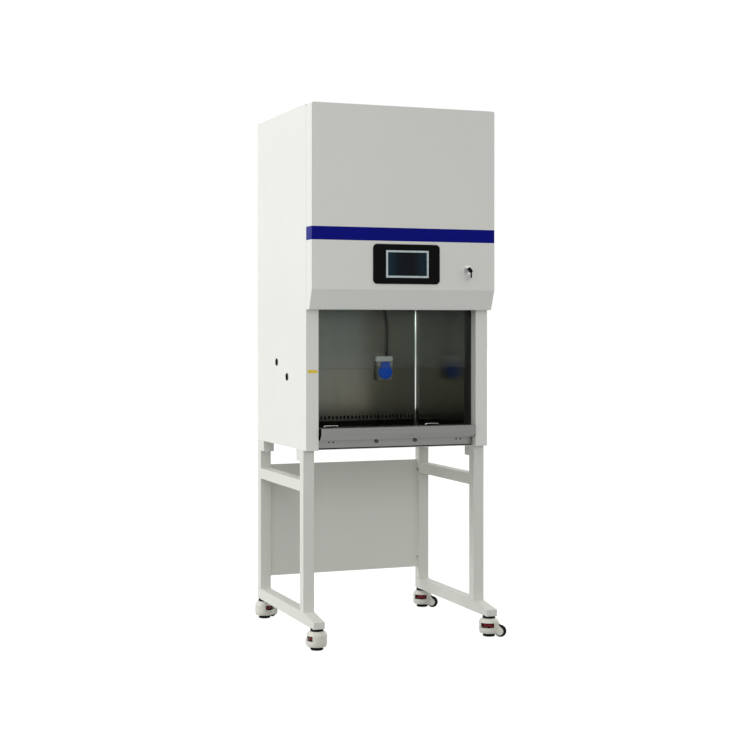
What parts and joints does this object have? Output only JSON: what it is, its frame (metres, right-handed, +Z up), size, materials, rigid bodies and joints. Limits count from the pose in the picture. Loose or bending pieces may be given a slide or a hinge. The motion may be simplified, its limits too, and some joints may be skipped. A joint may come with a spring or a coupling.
{
  "type": "biosafety cabinet",
  "caption": "Upright biosafety cabinet with a sliding glass sash, stainless work chamber, front touch display and a welded tube stand on levelling casters.",
  "frame": {"origin": "on the floor, under the middle of the footprint with its casters; the cabinet's own middle is at X = 0", "axes": "+Z up, -Y towards the operator at the cabinet's front, +X to the operator's right hand when facing it"},
  "size_m": [0.7497, 0.7111, 1.905],
  "materials": {
    "painted_steel": "satin powder coat",
    "stand_paint": "satin powder coat",
    "black_plastic": "satin",
    "screen_frame": "satin metallic frame, dark display",
    "chrome": "polished",
    "stainless": "brushed, reflective",
    "zinc_steel": "zinc plated sheet",
    "filter_media": "pleated filter pack in a frame",
    "motor_metal": "cast",
    "grey_plastic": "matte",
    "white_plastic": "matte",
    "lamp_glass": "clear quartz tube",
    "sash_glass": "clear, faint green edge",
    "blue_plastic": "gloss",
    "cable_black": "matte sheath",
    "strap_webbing": "woven",
    "guide_plastic": "matte dark grey",
    "caster_nylon": "cream nylon",
    "caster_tyre": "black tread on a light hub",
    "caster_dial_red": "red",
    "caster_pad_black": "black",
    "key_metal": "black head, plated blade and ring"
  },
  "bodies": {
    "cabinet": {"left_side_panel": "painted_steel", "right_side_panel": "painted_steel", "rear_panel": "painted_steel", "top_panel": "painted_steel", "bottom_pan": "painted_steel", "hood_cover": "painted_steel", "display_bezel": "black_plastic", "touch_screen": "screen_frame", "key_switch": "chrome", "chamber_rear_wall": "stainless", "chamber_side_walls": "stainless", "diffuser": "stainless", "plenum_front": "zinc_steel", "supply_filter": "filter_media", "exhaust_filter": "filter_media", "blower_housing": "zinc_steel", "blower_motor": "motor_metal", "blower_deck": "zinc_steel", "cable_fittings": "grey_plastic", "uv_lamp": "lamp_glass", "lamp_holders": "white_plastic", "work_tray": "stainless", "tray_handles": "stainless", "front_apron": "stainless", "apron_screws": "chrome", "socket_base": "blue_plastic", "socket_cable": "cable_black", "sash_guides": "guide_plastic", "sash_straps": "strap_webbing", "drum_brackets": "zinc_steel", "sash_motor": "motor_metal", "power_inlet": "black_plastic", "side_plugs": "black_plastic", "left_frame": "stand_paint", "right_frame": "stand_paint", "modesty_panel": "stand_paint", "stand_fasteners": "zinc_steel", "caster_stems": "caster_pad_black"},
    "sash": {"sash_glass": "sash_glass", "sash_clamps": "black_plastic"},
    "lift_drum": {"sash_drum": "zinc_steel"},
    "impeller": {"blower_impeller": "motor_metal"},
    "socket_lid": {"socket_lid": "blue_plastic"},
    "key": {"key": "key_metal"},
    "front_left_swivel": {"front_left_caster_housing": "caster_nylon"},
    "front_left_wheel": {"front_left_caster_wheel": "caster_tyre"},
    "front_left_dial": {"front_left_caster_dial": "caster_dial_red"},
    "front_left_pad": {"front_left_caster_pad": "caster_pad_black"},
    "front_right_swivel": {"front_right_caster_housing": "caster_nylon"},
    "front_right_wheel": {"front_right_caster_wheel": "caster_tyre"},
    "front_right_dial": {"front_right_caster_dial": "caster_dial_red"},
    "front_right_pad": {"front_right_caster_pad": "caster_pad_black"},
    "rear_left_swivel": {"rear_left_caster_housing": "caster_nylon"},
    "rear_left_wheel": {"rear_left_caster_wheel": "caster_tyre"},
    "rear_left_dial": {"rear_left_caster_dial": "caster_dial_red"},
    "rear_left_pad": {"rear_left_caster_pad": "caster_pad_black"},
    "rear_right_swivel": {"rear_right_caster_housing": "caster_nylon"},
    "rear_right_wheel": {"rear_right_caster_wheel": "caster_tyre"},
    "rear_right_dial": {"rear_right_caster_dial": "caster_dial_red"},
    "rear_right_pad": {"rear_right_caster_pad": "caster_pad_black"}
  },
  "joints": [
    {"name": "sash_slide", "type": "slide", "parent": "cabinet", "child": "sash", "axis": [0, 0, 1], "range_m": [-0.208, 0.2], "deforming": ["sash_straps"]},
    {"name": "drum_spin", "type": "hinge", "parent": "cabinet", "child": "lift_drum", "pos_m": [0, -0.1845, 1.824], "axis": [1, 0, 0], "range_deg": [-600, 600]},
    {"name": "impeller_spin", "type": "hinge", "parent": "cabinet", "child": "impeller", "pos_m": [0, 0.0715, 1.667], "axis": [1, 0, 0], "continuous": true},
    {"name": "socket_lid_hinge", "type": "hinge", "parent": "cabinet", "child": "socket_lid", "pos_m": [0.153, 0.2697, 0.9815], "axis": [-1, 0, 0], "range_deg": [0, 110]},
    {"name": "key_turn", "type": "hinge", "parent": "cabinet", "child": "key", "pos_m": [0.243, -0.312, 1.327], "axis": [0, -1, 0], "range_deg": [0, 90]},
    {"name": "front_left_swivel_turn", "type": "hinge", "parent": "cabinet", "child": "front_left_swivel", "pos_m": [-0.33, -0.308, 0.052], "axis": [0, 0, 1], "continuous": true},
    {"name": "front_left_wheel_spin", "type": "hinge", "parent": "front_left_swivel", "child": "front_left_wheel", "pos_m": [-0.33747, -0.26565, 0.022], "axis": [0.9848, 0.1736, 0], "continuous": true},
    {"name": "front_left_dial_turn", "type": "hinge", "parent": "front_left_swivel", "child": "front_left_dial", "pos_m": [-0.33, -0.308, 0.037], "axis": [0, 0, 1], "range_deg": [-360, 720]},
    {"name": "front_left_pad_slide", "type": "slide", "parent": "front_left_swivel", "child": "front_left_pad", "axis": [0, 0, 1], "range_m": [-0.0081, 0.0041]},
    {"name": "front_right_swivel_turn", "type": "hinge", "parent": "cabinet", "child": "front_right_swivel", "pos_m": [0.33, -0.308, 0.052], "axis": [0, 0, 1], "continuous": true},
    {"name": "front_right_wheel_spin", "type": "hinge", "parent": "front_right_swivel", "child": "front_right_wheel", "pos_m": [0.36294, -0.33564, 0.022], "axis": [-0.6428, -0.766, 0], "continuous": true},
    {"name": "front_right_dial_turn", "type": "hinge", "parent": "front_right_swivel", "child": "front_right_dial", "pos_m": [0.33, -0.308, 0.037], "axis": [0, 0, 1], "range_deg": [-360, 720]},
    {"name": "front_right_pad_slide", "type": "slide", "parent": "front_right_swivel", "child": "front_right_pad", "axis": [0, 0, 1], "range_m": [-0.0081, 0.0041]},
    {"name": "rear_left_swivel_turn", "type": "hinge", "parent": "cabinet", "child": "rear_left_swivel", "pos_m": [-0.33, 0.315, 0.052], "axis": [0, 0, 1], "continuous": true},
    {"name": "rear_left_wheel_spin", "type": "hinge", "parent": "rear_left_swivel", "child": "rear_left_wheel", "pos_m": [-0.29203, 0.33519, 0.022], "axis": [0.4695, -0.8829, 0], "continuous": true},
    {"name": "rear_left_dial_turn", "type": "hinge", "parent": "rear_left_swivel", "child": "rear_left_dial", "pos_m": [-0.33, 0.315, 0.037], "axis": [0, 0, 1], "range_deg": [-360, 720]},
    {"name": "rear_left_pad_slide", "type": "slide", "parent": "rear_left_swivel", "child": "rear_left_pad", "axis": [0, 0, 1], "range_m": [-0.0081, 0.0041]},
    {"name": "rear_right_swivel_turn", "type": "hinge", "parent": "cabinet", "child": "rear_right_swivel", "pos_m": [0.33, 0.315, 0.052], "axis": [0, 0, 1], "continuous": true},
    {"name": "rear_right_wheel_spin", "type": "hinge", "parent": "rear_right_swivel", "child": "rear_right_wheel", "pos_m": [0.36294, 0.28736, 0.022], "axis": [-0.6428, -0.766, 0], "continuous": true},
    {"name": "rear_right_dial_turn", "type": "hinge", "parent": "rear_right_swivel", "child": "rear_right_dial", "pos_m": [0.33, 0.315, 0.037], "axis": [0, 0, 1], "range_deg": [-360, 720]},
    {"name": "rear_right_pad_slide", "type": "slide", "parent": "rear_right_swivel", "child": "rear_right_pad", "axis": [0, 0, 1], "range_m": [-0.0081, 0.0041]}
  ],
  "couplings": [
    {"joint": "drum_spin", "follows": "sash_slide", "rad_per_m": -48.78},
    {"joint": "front_left_pad_slide", "follows": "front_left_dial_turn", "m_per_rad": -0.00063662},
    {"joint": "front_right_pad_slide", "follows": "front_right_dial_turn", "m_per_rad": -0.00063662},
    {"joint": "rear_left_pad_slide", "follows": "rear_left_dial_turn", "m_per_rad": -0.00063662},
    {"joint": "rear_right_pad_slide", "follows": "rear_right_dial_turn", "m_per_rad": -0.00063662}
  ]
}
